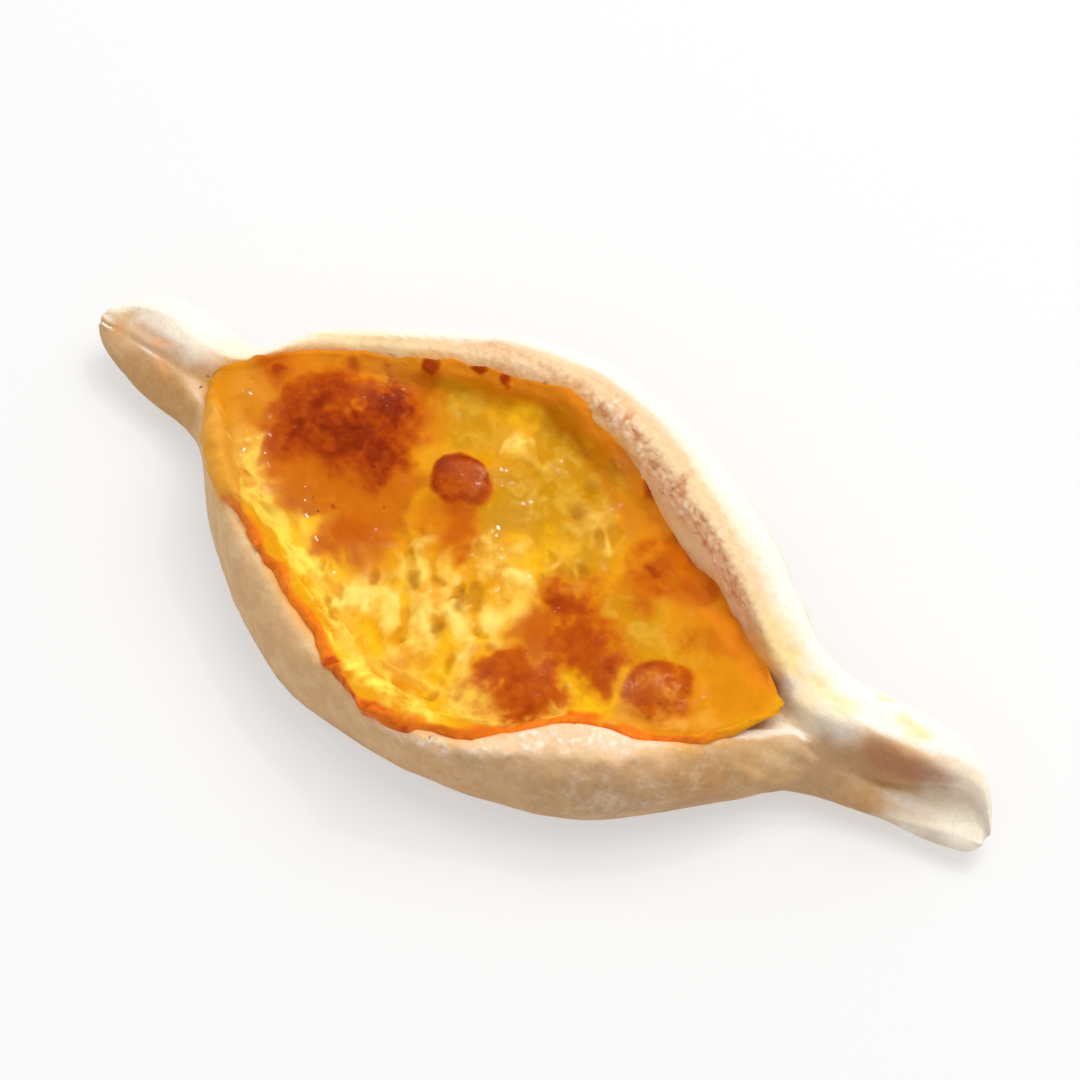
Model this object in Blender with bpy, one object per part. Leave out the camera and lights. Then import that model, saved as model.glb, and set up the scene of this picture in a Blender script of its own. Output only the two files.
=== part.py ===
"""Cheese fatayer: an open boat of baked dough with both ends pinched shut, filled with melted cheese.

Sizes are millimetres in the named values and turned into metres as the meshes are made.
X runs along the boat from its left tip to its right one, +Y is the far side and +Z is up.
The origin is the middle of the underside.
"""

import math

import bmesh
import bpy
import numpy as np

MM = 0.001
HALF_LENGTH = 82.5

# The boat's plan: (x, distance from the long axis to the widest part of the wall).
NEAR_SIDE = [
    (-59, 8.6), (-52, 13.0), (-42, 22.5), (-30, 30.8), (-15, 36.6), (0, 37.0), (15, 34.6),
    (28, 30.0), (38, 22.7), (46, 14.6), (53, 9.7), (60, 7.2),
]
FAR_SIDE = [
    (-60, 8.2), (-54, 10.0), (-47, 17.2), (-38, 22.8), (-26, 30.2), (-15, 34.4), (-4, 36.1),
    (8, 34.8), (20, 30.4), (30, 25.5), (40, 18.4), (47, 13.9), (54, 12.4), (60, 12.4),
]

# The rim: (x, height of its crest), and (x, how far the crest stands inside the wall's widest part).
NEAR_CREST = [
    (-60, 14.0), (-50, 17.5), (-40, 19.0), (-20, 19.5), (0, 18.5), (15, 18.0), (30, 18.5),
    (42, 17.8), (50, 16.2), (60, 12.0),
]
FAR_CREST = [
    (-60, 15.5), (-50, 18.5), (-35, 21.5), (-15, 22.8), (5, 23.8), (25, 23.0), (38, 21.5),
    (46, 19.5), (60, 16.0),
]
NEAR_INSET = [
    (-60, 4.0), (-50, 4.5), (-40, 5.0), (-30, 6.5), (-20, 6.3), (-12, 3.8), (-4, 2.2), (4, 2.0),
    (12, 3.2), (20, 5.5), (30, 7.0), (40, 7.4), (48, 9.0), (60, 5.0),
]
FAR_INSET = [
    (-60, 6.0), (-50, 6.0), (-38, 7.0), (-25, 8.5), (-10, 8.5), (5, 9.5), (20, 11.0),
    (32, 11.5), (40, 11.6), (46, 11.6), (52, 10.0), (60, 9.0),
]
# How much further in than elsewhere the near rim's flat top reaches.
NEAR_LEDGE = [(-60, 0), (14, 0), (17, 0.9), (21, 3.4), (27, 3.1), (33, 1.0), (38, 0), (60, 0)]

# The bed that the cheese lies in, the same line going on as the seam between the pinched lips.
BED_HEIGHT = [
    (-60, 14.0), (-55, 13.5), (-48, 10.0), (-40, 7.5), (-20, 6.5), (20, 6.5), (36, 7.5),
    (42, 11.5), (47, 16.4), (52, 16.4), (60, 13.0),
]
# Where the wall is widest, and how far its rounded foot reaches under the boat at most.
WALL_BULGE = [(-60, 6.5), (-40, 8.0), (0, 7.5), (40, 8.0), (60, 6.5)]
FOOT_ROUND = 8.0

# The pinched ends, as ten points (y, z) round the section that start under the middle and go up the
# near side: two of the low near side, the near lip, its inner edge, the fold, the far lip's lower edge,
# the ridge, and two of the far side.
PINCHED_END = {
    -82.5: [
        (2.6, 4.0), (-1.0, 4.8), (-2.0, 7.2), (-1.2, 9.4), (-0.6, 9.7),
        (-0.3, 9.6), (0.2, 10.0), (1.4, 10.8), (4.0, 9.8), (4.2, 6.4),
    ],
    -78.0: [
        (2.4, 2.6), (-2.2, 3.6), (-3.7, 7.0), (-2.4, 10.2), (-1.4, 10.6),
        (-1.0, 10.1), (-0.4, 11.0), (1.4, 12.8), (6.4, 11.6), (6.6, 5.6),
    ],
    -71.0: [
        (3.0, 1.2), (-3.7, 2.2), (-5.6, 6.4), (-1.6, 12.0), (-0.6, 12.4),
        (-0.3, 11.4), (0.0, 13.0), (1.2, 15.8), (9.0, 14.8), (10.8, 5.2),
    ],
    -64.0: [
        (1.8, 0.7), (-4.9, 2.0), (-6.8, 6.0), (-3.2, 10.2), (-2.2, 10.9),
        (-1.6, 11.4), (-0.8, 13.2), (0.8, 16.1), (7.8, 14.4), (9.8, 5.0),
    ],
    58.0: [
        (3.5, 0.4), (-3.0, 1.0), (-5.2, 4.5), (-4.6, 7.6), (-3.6, 9.4),
        (-2.4, 11.0), (-0.6, 13.4), (2.8, 16.6), (10.8, 13.8), (12.0, 3.6),
    ],
    66.0: [
        (5.0, 0.6), (-0.6, 0.9), (-2.8, 3.4), (-2.2, 5.7), (0.4, 6.2),
        (2.6, 7.0), (0.4, 9.2), (3.2, 16.2), (11.6, 14.0), (12.6, 4.0),
    ],
    74.0: [
        (5.5, 1.0), (-0.2, 1.2), (-2.1, 3.2), (-0.9, 5.5), (3.0, 6.0),
        (6.6, 7.4), (5.4, 9.6), (5.0, 14.2), (11.0, 13.0), (12.0, 4.6),
    ],
    77.0: [
        (5.6, 1.1), (0.3, 1.3), (-1.5, 3.2), (-0.3, 5.5), (3.2, 6.0),
        (6.6, 7.4), (6.6, 9.4), (6.4, 12.8), (9.3, 11.8), (10.2, 4.6),
    ],
    82.5: [
        (2.4, 1.5), (-0.5, 2.2), (-1.1, 3.6), (-0.3, 5.4), (1.2, 5.9),
        (2.4, 6.0), (3.2, 6.0), (4.0, 6.2), (4.8, 5.2), (4.6, 3.0),
    ],
}
# The body gives way to the pinched ends over these lengths, and each tip rounds off to a small end face.
LEFT_NECK = (-62.0, -50.0)
RIGHT_NECK = (46.0, 60.0)
TIP_ROUND = 5.0
TIP_SHARE = 0.17

# The cheese's edge, as places round the wall's section (see section_keys): 6 and 14 are the crests.
CHEESE_LEFT = -58.0
CHEESE_RIGHT = 47.5
CHEESE_NEAR_EDGE = [
    (-58, 8.0), (-55, 5.4), (-52, 4.75), (-45, 4.75), (-42, 5.2), (-38.5, 6.0), (-15, 6.0),
    (-5.5, 5.8), (-1, 5.35), (3.5, 6.3), (9, 5.95), (13, 6.6), (17, 7.0), (31, 7.0), (36.5, 6.6),
    (40.5, 5.6), (44.5, 5.6), (46, 7.0), (47.5, 8.8),
]
CHEESE_FAR_EDGE = [
    (-58, 12.1), (-55, 13.6), (-51, 13.2), (-47, 12.7), (-42, 13.0), (-34.5, 12.85), (-28, 13.15),
    (-14, 12.9), (-5.5, 13.35), (-2.5, 12.75), (3, 12.8), (10, 12.45), (15, 12.2), (23, 11.9),
    (28, 12.25), (32, 11.85), (40, 12.6), (44, 11.8), (47.5, 11.0),
]
CHEESE_LEVEL = [
    (-58, 18.5), (-50, 18.4), (-38, 17.2), (-20, 16.0), (0, 15.0), (25, 15.0), (40, 16.4), (47.5, 18.2),
]
CHEESE_FILM = [(-58, 1.6), (-51, 3.4), (-41, 3.4), (-33, 2.0), (-20, 1.4), (30, 1.3), (47.5, 1.0)]
CHEESE_EDGE_THICKNESS = 0.55
CHEESE_EDGE_ROUND = 1.2
CHEESE_GAP = 0.35
POOL_BLEND = 3.0

# Browned blisters on the cheese: (x, y, radius, height).
BLISTERS = [
    (-35, 3.5, 9.5, 2.2), (-27, 1.0, 6.0, 1.6), (-14, 5.0, 5.6, 2.4), (-21, -12.0, 5.0, 0.9),
    (-9, -5.0, 5.0, 0.9), (13, -19.0, 6.5, 1.6), (18, -8.0, 7.5, 1.4), (30, -8.5, 6.0, 2.2),
    (21, 11.0, 4.5, 1.4), (-36, -14.0, 4.0, 1.4), (-48, 4.5, 3.5, 1.0), (-41, 10.5, 3.5, 0.9),
]

STATIONS = 74
TIP_CROWDING = 0.35
CHEESE_ACROSS = 30
# How many strips the dough's mesh has between each place round the section and the next.
STRIPS = (1, 2, 2, 3, 3, 2, 2, 3, 3, 2, 2, 3, 3, 2, 2, 3, 3, 2, 2, 1)
PLACES = [i + j / n for i, n in enumerate(STRIPS) for j in range(n)]


def along(stops, x):
    """The value at x of a smooth curve through the stops, which never swings past them."""
    at, value = (np.array(column, float) for column in zip(*stops))
    step = np.diff(at)
    slope = np.diff(value) / step
    tangent = np.zeros(len(at))
    same_way = slope[:-1] * slope[1:] > 0
    tangent[1:-1][same_way] = 2 / (1 / slope[:-1][same_way] + 1 / slope[1:][same_way])
    tangent[0], tangent[-1] = slope[0], slope[-1]
    i = int(np.clip(np.searchsorted(at, x) - 1, 0, len(step) - 1))
    t = min(max((x - at[i]) / step[i], 0.0), 1.0)
    return (
        value[i] * (1 + 2 * t) * (1 - t) ** 2
        + value[i + 1] * t * t * (3 - 2 * t)
        + step[i] * (tangent[i] * t * (1 - t) ** 2 - tangent[i + 1] * t * t * (1 - t))
    )


def waves(x, start):
    """A slow unevenness along the boat, from -1 to 1."""
    swell = 0.5 * math.sin(0.17 * x + start) + 0.3 * math.sin(0.41 * x + 2.3 * start)
    return swell + 0.2 * math.sin(0.73 * x + start)


def mix(a, b, share):
    return a + (b - a) * share


def smooth_max(a, b, reach):
    """The larger of two heights, rounded over where they meet."""
    near = np.clip(0.5 + 0.5 * (a - b) / reach, 0, 1)
    return b + (a - b) * near + reach * near * (1 - near)


def smooth_step(share):
    share = min(max(share, 0.0), 1.0)
    return share * share * (3 - 2 * share)


def quarter(angle, wide, tall):
    """A point of a quarter ellipse: how far in from its side, and how far up."""
    turn = math.radians(angle)
    return wide * (1 - math.cos(turn)), tall * math.sin(turn)


def section_keys(x):
    """The section of the dough at x, as 20 points (y, z) that run from the middle of the underside
    round the near wall, over its crest (6), across the bed (10), over the far crest (14) and back."""
    near, far = along(NEAR_SIDE, x), along(FAR_SIDE, x)
    near_top = along(NEAR_CREST, x) + 0.5 * waves(x, 1.1)
    far_top = along(FAR_CREST, x) + 0.6 * waves(x, 4.0)
    near_inset, far_inset = along(NEAR_INSET, x), along(FAR_INSET, x)
    bulge, bed = along(WALL_BULGE, x), along(BED_HEIGHT, x)
    foot = min(FOOT_ROUND, 0.75 * min(near, far))
    near_crest, far_crest = near_inset - near, far - far_inset
    middle, half = 0.5 * (near_crest + far_crest), 0.5 * (far_crest - near_crest)
    openness = float(np.clip((half - 4.5) / 10.0, 0, 1))
    lip, wall, floor = mix(0.76, 0.89, openness), mix(0.55, 0.78, openness), mix(0.34, 0.6, openness)

    def outer(side, widest, inset, top):
        """The wall from foot to crest on one side, from the bottom up."""
        points = []
        for angle in (90, 45, 0):
            inwards, down = quarter(angle, foot, bulge)
            points.append((side * (widest - inwards), bulge - down))
        for angle in (38, 66, 90):
            inwards, up = quarter(angle, inset, top - bulge)
            points.append((side * (widest - inwards), bulge + up))
        return points

    def inner(side, top, ledge):
        """The slope from crest to bed on one side, from the top down, pushed inwards by a ledge."""
        shares = ((lip, 0.13 - 0.02 * ledge, 1.0), (wall, 0.55, 0.8), (floor, 0.95, 0.4))
        return [
            (middle + side * (half * out - ledge * pushed), mix(top, bed, down))
            for out, down, pushed in shares
        ]

    near_wall, far_wall = outer(-1, near, near_inset, near_top), outer(1, far, far_inset, far_top)
    ledge = along(NEAR_LEDGE, x)
    keys = [(0.5 * (far - near), 0.0), *near_wall, *inner(-1, near_top, ledge), (middle, bed)]
    keys += [*reversed(inner(1, far_top, 0.0)), *reversed(far_wall)]
    keys = np.array(keys)
    for start, end in (LEFT_NECK, RIGHT_NECK[::-1]):
        pinch = smooth_step((x - end) / (start - end))
        if pinch > 0:
            keys = mix(keys, pinched_keys(x), pinch)
    return keys


def pinched_keys(x):
    """The section of a pinched end at x, as 20 points like those of section_keys."""
    side = sorted(at for at in PINCHED_END if at * x > 0)
    ten = np.array([
        [along([(at, PINCHED_END[at][i][axis]) for at in side], x) for axis in (0, 1)]
        for i in range(10)
    ])
    between = 0.5625 * (ten + np.roll(ten, -1, 0)) - 0.0625 * (np.roll(ten, 1, 0) + np.roll(ten, -2, 0))
    keys = np.stack([ten, between], 1).reshape(20, 2)
    into_tip = max(0.0, (abs(x) - (HALF_LENGTH - TIP_ROUND)) / TIP_ROUND)
    heart = keys.mean(0)
    return heart + (keys - heart) * max(TIP_SHARE, math.sqrt(max(0.0, 1 - into_tip**2.4)))


def section_point(keys, place):
    """The point at a place round the section, on a closed smooth curve through its keys."""
    i = math.floor(place)
    t = place - i
    a, b, c, d = (keys[(i + step) % len(keys)] for step in (-1, 0, 1, 2))
    bend, twist = 2 * a - 5 * b + 4 * c - d, 3 * b - a - 3 * c + d
    return b + 0.5 * ((c - a) * t + bend * t**2 + twist * t**3)


def outward(keys, place):
    """The direction out of the dough at a place round its section."""
    along_wall = section_point(keys, place + 0.05) - section_point(keys, place - 0.05)
    out = np.array([-along_wall[1], along_wall[0]])
    return out / np.linalg.norm(out)


def stations():
    """The places along X where the boat is cut into sections, closer together near the two tips."""
    share = np.linspace(0, 1, STATIONS)
    eased = 0.5 - 0.5 * np.cos(np.pi * share)
    return HALF_LENGTH * (2 * mix(share, eased, TIP_CROWDING) - 1)


def dough_ring(x):
    """The points of the dough's mesh round its section at x."""
    keys = section_keys(x)
    return np.array([section_point(keys, place) for place in PLACES])


def blister_height(x, y):
    """How far the browned blisters lift the cheese at a point of its plan."""
    lift = 0.0
    for blister_x, blister_y, radius, height in BLISTERS:
        away = math.hypot(x - blister_x, y - blister_y) / radius
        lift = max(lift, height * max(0.0, 1 - away**2) ** 1.5)
    return lift


def cheese_grids():
    """The cheese's top and underside, one row of points for each of the boat's stations it covers."""
    top, under = [], []
    covered = [x for x in stations() if CHEESE_LEFT + 0.8 < x < CHEESE_RIGHT - 0.8]
    for x in [CHEESE_LEFT, *covered, CHEESE_RIGHT]:
        keys, ring = section_keys(x), dough_ring(x)
        level, film = along(CHEESE_LEVEL, x) + 0.4 * waves(x, 2.2), along(CHEESE_FILM, x)
        near_edge, far_edge = along(CHEESE_NEAR_EDGE, x), along(CHEESE_FAR_EDGE, x)
        places = np.linspace(near_edge, far_edge, CHEESE_ACROSS)
        bed = np.stack([np.interp(places, PLACES, ring[:, axis]) for axis in (0, 1)], 1)
        run = np.concatenate([[0], np.cumsum(np.linalg.norm(np.diff(bed, axis=0), axis=1))])
        from_end = min(x - CHEESE_LEFT, CHEESE_RIGHT - x)
        top_row, under_row = [], []
        for place, point, reach in zip(places, bed, np.minimum(run, run[-1] - run)):
            out = outward(keys, place)
            upright = smooth_step((place - 5.0) / 1.5) * smooth_step((15.0 - place) / 1.5)
            way = mix(out, np.array([0.0, 1.0]), upright)
            rounding = 1 - math.exp(-min(reach, from_end) / CHEESE_EDGE_ROUND)
            y, z = point + out * CHEESE_GAP
            under_row.append((x, y, z))
            y, z = (y, z) + way / np.linalg.norm(way) * mix(CHEESE_EDGE_THICKNESS, film, rounding)
            pool = smooth_max(z, level + blister_height(x, y) * rounding, POOL_BLEND)
            top_row.append((x, y, mix(z, pool, upright * rounding)))
        top.append(top_row)
        under.append(under_row)
    return np.array(top), np.array(under)


def loft_faces(rows, columns, closed):
    """Quads between neighbouring rows of a grid of points, which may close round on itself."""
    faces = []
    for i in range(rows - 1):
        for j in range(columns if closed else columns - 1):
            here, there = i * columns, (i + 1) * columns
            beside = (j + 1) % columns
            faces.append((here + j, there + j, there + beside, here + beside))
    return faces


def add_solid(name, points, faces, centre, material, collection):
    """A named object from points in millimetres, set about the boat's origin, with its faces pointing out."""
    mesh = bpy.data.meshes.new(name)
    mesh.from_pydata(((points - centre) * MM).tolist(), [], faces)
    shape = bmesh.new()
    shape.from_mesh(mesh)
    bmesh.ops.recalc_face_normals(shape, faces=shape.faces)
    if shape.calc_volume(signed=True) < 0:
        bmesh.ops.reverse_faces(shape, faces=shape.faces)
    shape.to_mesh(mesh)
    shape.free()
    mesh.shade_smooth()
    mesh.materials.append(material)
    solid = bpy.data.objects.new(name, mesh)
    collection.objects.link(solid)
    return solid


def add_dough(rings, centre, material, collection):
    """The boat of dough: the lofted rings, closed at each tip by a small end face."""
    count, size = rings.shape[:2]
    faces = loft_faces(count, size, closed=True)
    faces += [tuple(range(size)), tuple(range((count - 1) * size, count * size))]
    return add_solid("dough_boat", rings.reshape(-1, 3), faces, centre, material, collection)


def add_cheese(top, under, centre, material, collection):
    """The cheese: its top and underside sewn together round the edge."""
    rows, columns = top.shape[:2]
    sheet = rows * columns
    skin = loft_faces(rows, columns, closed=False)
    faces = skin + [tuple(corner + sheet for corner in reversed(face)) for face in skin]
    border = list(range(columns - 1))
    border += [i * columns + columns - 1 for i in range(rows - 1)]
    border += [(rows - 1) * columns + j for j in range(columns - 1, 0, -1)]
    border += [i * columns for i in range(rows - 1, 0, -1)]
    for here, there in zip(border, border[1:] + border[:1]):
        faces.append((here, there, there + sheet, here + sheet))
    points = np.concatenate([top.reshape(-1, 3), under.reshape(-1, 3)])
    return add_solid("cheese_filling", points, faces, centre, material, collection)


def baked_material(name, colour, roughness):
    material = bpy.data.materials.new(name)
    material.use_nodes = True
    shader = material.node_tree.nodes["Principled BSDF"]
    shader.inputs["Base Color"].default_value = (*colour, 1.0)
    shader.inputs["Roughness"].default_value = roughness
    shader.inputs["Metallic"].default_value = 0.0
    return material


def main():
    for old in list(bpy.data.objects):
        bpy.data.objects.remove(old)
    fatayer = bpy.data.collections.new("cheese_fatayer")
    bpy.context.scene.collection.children.link(fatayer)
    rings = np.array([[(x, *point) for point in dough_ring(x)] for x in stations()])
    top, under = cheese_grids()
    points = np.concatenate([grid.reshape(-1, 3) for grid in (rings, top, under)])
    low, high = points.min(0), points.max(0)
    centre = np.array([(low[0] + high[0]) / 2, (low[1] + high[1]) / 2, low[2]])
    add_dough(rings, centre, baked_material("baked_dough", (0.80, 0.60, 0.36), 0.75), fatayer)
    add_cheese(top, under, centre, baked_material("melted_cheese", (0.85, 0.46, 0.07), 0.35), fatayer)


main()
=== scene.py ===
import math
import random

import bmesh
import bpy
import numpy as np
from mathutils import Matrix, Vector, noise
from mathutils.bvhtree import BVHTree
from mathutils.kdtree import KDTree


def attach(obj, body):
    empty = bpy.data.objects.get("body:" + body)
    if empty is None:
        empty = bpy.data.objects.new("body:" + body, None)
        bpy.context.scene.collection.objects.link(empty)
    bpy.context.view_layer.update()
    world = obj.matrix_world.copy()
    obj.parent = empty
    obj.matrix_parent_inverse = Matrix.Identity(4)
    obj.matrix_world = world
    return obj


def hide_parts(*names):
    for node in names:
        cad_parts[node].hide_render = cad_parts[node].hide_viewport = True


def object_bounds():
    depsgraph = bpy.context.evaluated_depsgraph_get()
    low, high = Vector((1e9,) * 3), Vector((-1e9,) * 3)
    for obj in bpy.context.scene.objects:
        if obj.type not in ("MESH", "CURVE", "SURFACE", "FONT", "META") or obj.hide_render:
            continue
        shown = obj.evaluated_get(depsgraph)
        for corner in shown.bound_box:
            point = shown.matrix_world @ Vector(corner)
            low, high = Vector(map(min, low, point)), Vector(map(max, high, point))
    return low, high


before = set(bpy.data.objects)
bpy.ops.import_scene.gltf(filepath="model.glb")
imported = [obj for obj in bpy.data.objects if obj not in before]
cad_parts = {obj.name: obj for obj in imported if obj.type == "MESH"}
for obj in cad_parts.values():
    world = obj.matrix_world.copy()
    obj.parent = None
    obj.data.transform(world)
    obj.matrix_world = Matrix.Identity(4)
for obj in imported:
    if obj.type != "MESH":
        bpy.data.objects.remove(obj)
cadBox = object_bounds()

mm = 0.001
imageSize = 1080


def smoothStep(low, high, value):
    share = np.clip((value - low) / (high - low), 0, 1)
    return share * share * (3 - 2 * share)


def grain(points, size, shift=0.0, basis="PERLIN_ORIGINAL"):
    # noise around 0, mostly within 0.5 of it, with blobs of the given size in mm
    scaled = (points / size + shift).tolist()
    return np.array([noise.noise(p, noise_basis=basis) for p in scaled])


def layered(points, size, shift, layers=3):
    # noise with finer and finer grain on top, mostly from -1 to 1
    return 1.5 * sum(grain(points, size / 2 ** i, shift + 9 * i) / 1.6 ** i for i in range(layers))


def lumpy(points, size, shift):
    # rounded lumps with sharp furrows between them, from 0 in a furrow to about 1
    return 2.2 * np.abs(grain(points, size, shift))


def domes(points, size, shift):
    # rounded grains that lie side by side, from 0 between them to about 1 on top
    return np.clip(0.6 - 0.75 * grain(points, size, shift, "VORONOI_F1"), 0, 1.2)


def warped(points, size, reach, shift):
    # the points pushed about by a noise, so that outlines wander
    push = [grain(points, size, shift + 17.3 * i) for i in range(3)]
    return points + 2 * reach * np.stack(push, 1)


def nearness(points, spots):
    # 1 in the middle of the nearest spot, 0 on its rim, negative outside
    best = np.full(len(points), -9.0)
    for middle, radius in spotsOnBoat(spots):
        best = np.maximum(best, 1 - np.linalg.norm(points - middle, axis=1) / radius)
    return best


def heaped(points, spots):
    # soft heaps over spots that run into each other, from 0 to 1
    reaches = [np.linalg.norm(points - middle, axis=1) / radius for middle, radius in spotsOnBoat(spots)]
    return 1 - np.exp(-1.6 * sum(np.exp(-reach ** 2) for reach in reaches))


def lineReach(points, pixels):
    # how far each point is from a drawn line, in mm, and how far along the line it lies, from 0 to 1
    line = np.array(lineOnBoat(pixels))
    lengths = np.linalg.norm(np.diff(line, axis=0), axis=1)
    before = np.concatenate([[0], np.cumsum(lengths)])
    best, along = np.full(len(points), 1e9), np.zeros(len(points))
    for start, end, length, gone in zip(line[:-1], line[1:], lengths, before):
        way = (end - start) / max(length, 1e-6)
        run = np.clip((points - start) @ way, 0, length)
        away = np.linalg.norm(points - start - run[:, None] * way, axis=1)
        closer = away < best
        best = np.where(closer, away, best)
        along = np.where(closer, (gone + run) / before[-1], along)
    return best, along


def rib(points, pixels, width, fade=0.12):
    # a rounded rib along a line, 1 on the line and dying out at its two ends
    away, along = lineReach(points, pixels)
    return np.exp(-(away / width) ** 2) * smoothStep(0, fade, along) * smoothStep(0, fade, 1 - along)


# The view of the photograph: angles in degrees, lens and sensor in mm, places in mm from the origin.
camera = {
    "azimuth": 33.618,
    "elevation": 62.0,
    "lens": 100.0,
    "sensor": 36.0,
    "target": (-0.601, 6.943, 8.0),
    "distance": 466.4,
    "clipStart": 0.01,
}
turn, rise = math.radians(camera["azimuth"]), math.radians(camera["elevation"])
viewBack = Vector((math.sin(turn) * math.cos(rise), -math.cos(turn) * math.cos(rise), math.sin(rise)))
viewRight = Vector((math.cos(turn), math.sin(turn), 0))
viewUp = viewBack.cross(viewRight)
viewFrom = (Vector(camera["target"]) + viewBack * camera["distance"]) * mm
viewScale = camera["lens"] / camera["sensor"] * imageSize
rightward = np.array(viewRight)  # level directions that run right and up in the photograph
upward = np.array((-math.sin(turn), math.cos(turn), 0))


def makeCamera():
    data = bpy.data.cameras.new("photoCamera")
    data.lens = camera["lens"]
    data.sensor_width = camera["sensor"]
    data.clip_start = camera["clipStart"]
    made = bpy.data.objects.new("photoCamera", data)
    made.location = viewFrom
    made.rotation_euler = viewBack.to_track_quat("Z", "Y").to_euler()
    bpy.context.scene.collection.objects.link(made)
    bpy.context.scene.camera = made


def treeOf(mesh):
    return BVHTree.FromPolygons([v.co for v in mesh.vertices], [tuple(p.vertices) for p in mesh.polygons])


cadTrees = {name: treeOf(node.data) for name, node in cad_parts.items()}


def cast(pixel, trees):
    # the first place and the normal there that a pixel of the photograph shows
    across, down = ((at - imageSize / 2) / viewScale for at in pixel)
    ray = viewRight * across - viewUp * down - viewBack
    hits = [tree.ray_cast(viewFrom, ray.normalized()) for tree in trees]
    hits = [hit for hit in hits if hit[0] is not None]
    if not hits:
        raise ValueError(f"pixel {pixel} is beside the boat")
    return min(hits, key=lambda hit: hit[3])[:2]


def lineOnBoat(pixels):
    return [cast(pixel, cadTrees.values())[0] / mm for pixel in pixels]


def spotsOnBoat(spots):
    # (pixel x, pixel y, radius in mm) turned into (place in mm, radius)
    return [(np.array(cast(spot[:2], cadTrees.values())[0] / mm), spot[2]) for spot in spots]


class Wire:
    # a socket that can be added, subtracted and multiplied like a number
    def __init__(self, paint, socket):
        self.paint, self.socket = paint, socket

    def math(self, operation, other, swapped=False, clamp=False):
        values = [other, self] if swapped else [self, other]
        settings = {"operation": operation, "use_clamp": clamp}
        return self.paint.node("ShaderNodeMath", settings, dict(enumerate(values)))

    def __add__(self, other):
        return self.math("ADD", other)

    def __radd__(self, other):
        return self.math("ADD", other, swapped=True)

    def __sub__(self, other):
        return self.math("SUBTRACT", other)

    def __rsub__(self, other):
        return self.math("SUBTRACT", other, swapped=True)

    def __mul__(self, other):
        return self.math("MULTIPLY", other)

    def __rmul__(self, other):
        return self.math("MULTIPLY", other, swapped=True)

    def clamp(self):
        return self.math("ADD", 0.0, clamp=True)


class Paint:
    # one material and the nodes in it
    def __init__(self, name, finish):
        self.material = bpy.data.materials.new(name)
        self.material.use_nodes = True
        self.tree = self.material.node_tree
        self.shader = self.tree.nodes["Principled BSDF"]
        for socket, value in finish.items():
            self.shader.inputs[socket].default_value = value
        self.place = self.node("ShaderNodeTexCoord", output="Object")

    def node(self, kind, settings=None, values=None, output=0):
        made = self.tree.nodes.new(kind)
        for key, value in (settings or {}).items():
            if key == "stops":
                ramp = made.color_ramp
                while len(ramp.elements) < len(value):
                    ramp.elements.new(0.5)
                for element, (at, colour) in zip(ramp.elements, value):
                    element.position, element.color = at, (*colour, 1.0)
            else:
                setattr(made, key, value)
        for key, value in (values or {}).items():
            if isinstance(value, Wire):
                self.tree.links.new(value.socket, made.inputs[key])
            else:
                made.inputs[key].default_value = value
        return Wire(self, made.outputs[output])

    def mask(self, name):
        return self.node("ShaderNodeAttribute", {"attribute_name": name}, output="Fac")

    def speckle(self, size, detail=3.0, roughness=0.55):
        # a noise of the given size in mm, from about 0.25 to 0.75
        values = {"Vector": self.place, "Scale": 1 / (size * mm), "Detail": detail, "Roughness": roughness}
        return self.node("ShaderNodeTexNoise", {}, values)

    def range(self, value, low, high, to=(0.0, 1.0)):
        values = {"Value": value, "From Min": low, "From Max": high, "To Min": to[0], "To Max": to[1]}
        return self.node("ShaderNodeMapRange", {"interpolation_type": "SMOOTHSTEP"}, values)

    def ramp(self, value, stops):
        return self.node("ShaderNodeValToRGB", {"stops": stops}, {"Fac": value})

    def blend(self, under, over, share):
        values = {0: share}
        for slot, colour in ((6, under), (7, over)):
            values[slot] = colour if isinstance(colour, Wire) else (*colour, 1.0)
        return self.node("ShaderNodeMix", {"data_type": "RGBA"}, values, output=2)

    def coats(self, tones, first, over):
        # a first tone with others laid over it in turn, as (name of a tone or a colour, share)
        colour = tones[first]
        for coat, share in over:
            colour = self.blend(colour, tones[coat] if isinstance(coat, str) else coat, share)
        return colour

    def shade(self, colour, factor):
        # a colour made lighter or darker by a number
        grey = self.node("ShaderNodeCombineColor", {}, {0: factor, 1: factor, 2: factor})
        settings = {"data_type": "RGBA", "blend_type": "MULTIPLY"}
        return self.node("ShaderNodeMix", settings, {0: 1.0, 6: colour, 7: grey}, output=2)

    def bumps(self, height, distance, strength=1.0, under=None):
        values = {"Height": height, "Distance": distance * mm, "Strength": strength}
        if under:
            values["Normal"] = under
        return self.node("ShaderNodeBump", {}, values)

    def feed(self, socket, value):
        self.tree.links.new(value.socket, self.shader.inputs[socket])


def lightOf(channel):
    # a channel from 0 to 255 as the light value that the shader takes
    share = channel / 255
    return ((share + 0.055) / 1.055) ** 2.4 if channel > 10 else share / 12.92


def tone(red, green, blue):
    return lightOf(red), lightOf(green), lightOf(blue)


meshing = {
    "splits": 8,  # rounds in which long edges are halved, at most
    "turnable": 0.16,  # an edge whose faces bend less than this, in radians, may be turned
    "quickCoarser": 1.7,
    "hiddenTriangle": 5.0,  # longest edge where nothing shows, in mm
    "halvings": 2,
    "thinShown": 0.3,  # how readily shown triangles are thinned out, against 1 for hidden ones
    "overFloor": 0.3,  # what lies lower than this, in mm, is hidden
    "touching": 0.7,  # what lies nearer than this to the other node, in mm, is hidden
    "evening": 10,  # rounds of one step in and one out
    "endsFrom": (46, 60),  # where the two ends start and are whole, in mm from the middle
    "spotRounds": 26,
}


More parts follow.
